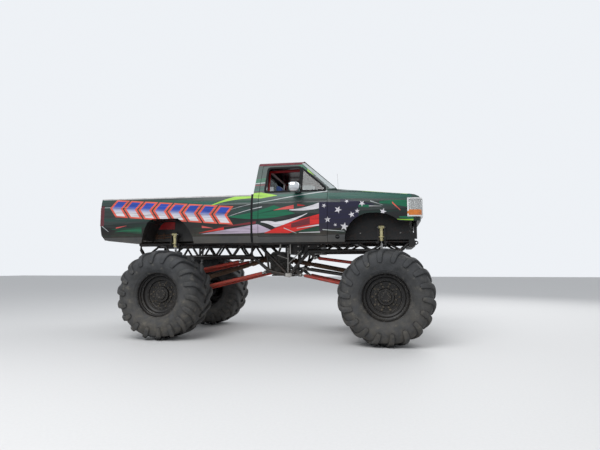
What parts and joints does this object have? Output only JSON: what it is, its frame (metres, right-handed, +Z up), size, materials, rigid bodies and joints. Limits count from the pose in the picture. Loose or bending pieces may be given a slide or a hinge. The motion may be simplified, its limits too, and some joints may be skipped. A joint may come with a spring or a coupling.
{
  "type": "monster truck",
  "caption": "Pickup-bodied show truck on a tubular chassis, with very tall flotation tyres, steered front knuckles, opening doors, hood and tailgate.",
  "frame": {"origin": "on the ground, at the middle of the overall length and width", "axes": "+X forward, +Y to the truck's left, +Z up"},
  "size_m": [5.52, 2.744, 2.9303],
  "materials": {
    "body_paint": "charcoal green gloss enamel with striping",
    "bed_liner": "dull black inside the bed",
    "roof_paint": "maroon gloss enamel",
    "tub_paint": "red enamel under road dirt",
    "chassis_black": "black chassis paint",
    "link_red": "faded red paint",
    "cage_red": "red gloss paint",
    "wheel_black": "black steel wheel paint",
    "tyre": "dusty black rubber",
    "glass": "clear glass",
    "chrome": "chrome",
    "lamp_lens": "clear lamp lens with an amber corner",
    "tail_lens": "dark red lens",
    "grille_plastic": "dark grey moulded grille",
    "seat_fabric": "blue fabric",
    "trim": "black interior trim",
    "case_grey": "dull grey castings",
    "engine_iron": "dirty castings",
    "shaft_rust": "rusty steel tube",
    "shock_gold": "cream gold paint",
    "shock_steel": "plated rod"
  },
  "bodies": {
    "chassis": {"bed_sides": "body_paint", "cab_back": "body_paint", "cab_floor": "body_paint", "cowl": "body_paint", "front_fenders": "body_paint", "header_panel": "body_paint", "bed_floor": "bed_liner", "bed_front": "bed_liner", "roof": "roof_paint", "wheel_tubs": "tub_paint", "frame_trusses": "chassis_black", "frame_crossmembers": "chassis_black", "front_axle": "chassis_black", "rear_axle": "chassis_black", "link_bars": "link_red", "roll_cage": "cage_red", "cab_glass": "glass", "headlamps": "lamp_lens", "tail_lamps": "tail_lens", "grille": "grille_plastic", "seats": "seat_fabric", "dashboard": "trim", "steering_wheel": "trim", "transfer_case": "case_grey", "radiator": "case_grey", "engine": "engine_iron", "driveshafts": "shaft_rust", "shock_bodies": "shock_gold", "shock_shafts": "shock_steel"},
    "hood_lid": {"hood": "body_paint"},
    "left_door": {"door_left": "body_paint", "quarter_glass_left": "glass", "mirror_left": "chrome"},
    "right_door": {"door_right": "body_paint", "quarter_glass_right": "glass", "mirror_right": "chrome"},
    "tail_gate": {"tailgate": "body_paint"},
    "left_knuckle": {"knuckle_left": "chassis_black"},
    "right_knuckle": {"knuckle_right": "chassis_black"},
    "track_rod": {"tie_rod": "chassis_black"},
    "front_left_wheel": {"tyre_front_left": "tyre", "wheel_front_left": "wheel_black"},
    "front_right_wheel": {"tyre_front_right": "tyre", "wheel_front_right": "wheel_black"},
    "rear_left_wheel": {"tyre_rear_left": "tyre", "wheel_rear_left": "wheel_black"},
    "rear_right_wheel": {"tyre_rear_right": "tyre", "wheel_rear_right": "wheel_black"}
  },
  "joints": [
    {"name": "hood_hinge", "type": "hinge", "parent": "chassis", "child": "hood_lid", "pos_m": [1.345, 0, 2.382], "axis": [0, -1, 0], "range_deg": [0, 50]},
    {"name": "left_door_hinge", "type": "hinge", "parent": "chassis", "child": "left_door", "pos_m": [1.175, 1.003, 2], "axis": [0, 0, -1], "range_deg": [0, 65]},
    {"name": "right_door_hinge", "type": "hinge", "parent": "chassis", "child": "right_door", "pos_m": [1.175, -1.003, 2], "axis": [0, 0, 1], "range_deg": [0, 65]},
    {"name": "tailgate_hinge", "type": "hinge", "parent": "chassis", "child": "tail_gate", "pos_m": [-2.705, 0, 1.668], "axis": [0, -1, 0], "range_deg": [0, 90]},
    {"name": "left_steer", "type": "hinge", "parent": "chassis", "child": "left_knuckle", "pos_m": [2.05, 0.76, 0.71], "axis": [0, 0, 1], "range_deg": [-20, 20]},
    {"name": "right_steer", "type": "hinge", "parent": "chassis", "child": "right_knuckle", "pos_m": [2.05, -0.76, 0.71], "axis": [0, 0, 1], "range_deg": [-20, 20]},
    {"name": "track_rod_pivot", "type": "hinge", "parent": "left_knuckle", "child": "track_rod", "pos_m": [2.29, 0.76, 0.742], "axis": [0, 0, 1], "range_deg": [-20, 20]},
    {"name": "front_left_spin", "type": "hinge", "parent": "left_knuckle", "child": "front_left_wheel", "pos_m": [2.05, 1, 0.71], "axis": [0, 1, 0], "continuous": true},
    {"name": "front_right_spin", "type": "hinge", "parent": "right_knuckle", "child": "front_right_wheel", "pos_m": [2.05, -1, 0.71], "axis": [0, 1, 0], "continuous": true},
    {"name": "rear_left_spin", "type": "hinge", "parent": "chassis", "child": "rear_left_wheel", "pos_m": [-1.5, 1, 0.71], "axis": [0, 1, 0], "continuous": true},
    {"name": "rear_right_spin", "type": "hinge", "parent": "chassis", "child": "rear_right_wheel", "pos_m": [-1.5, -1, 0.71], "axis": [0, 1, 0], "continuous": true}
  ],
  "couplings": [
    {"joint": "right_steer", "follows": "left_steer", "ratio": 1},
    {"joint": "track_rod_pivot", "follows": "left_steer", "ratio": -1}
  ]
}
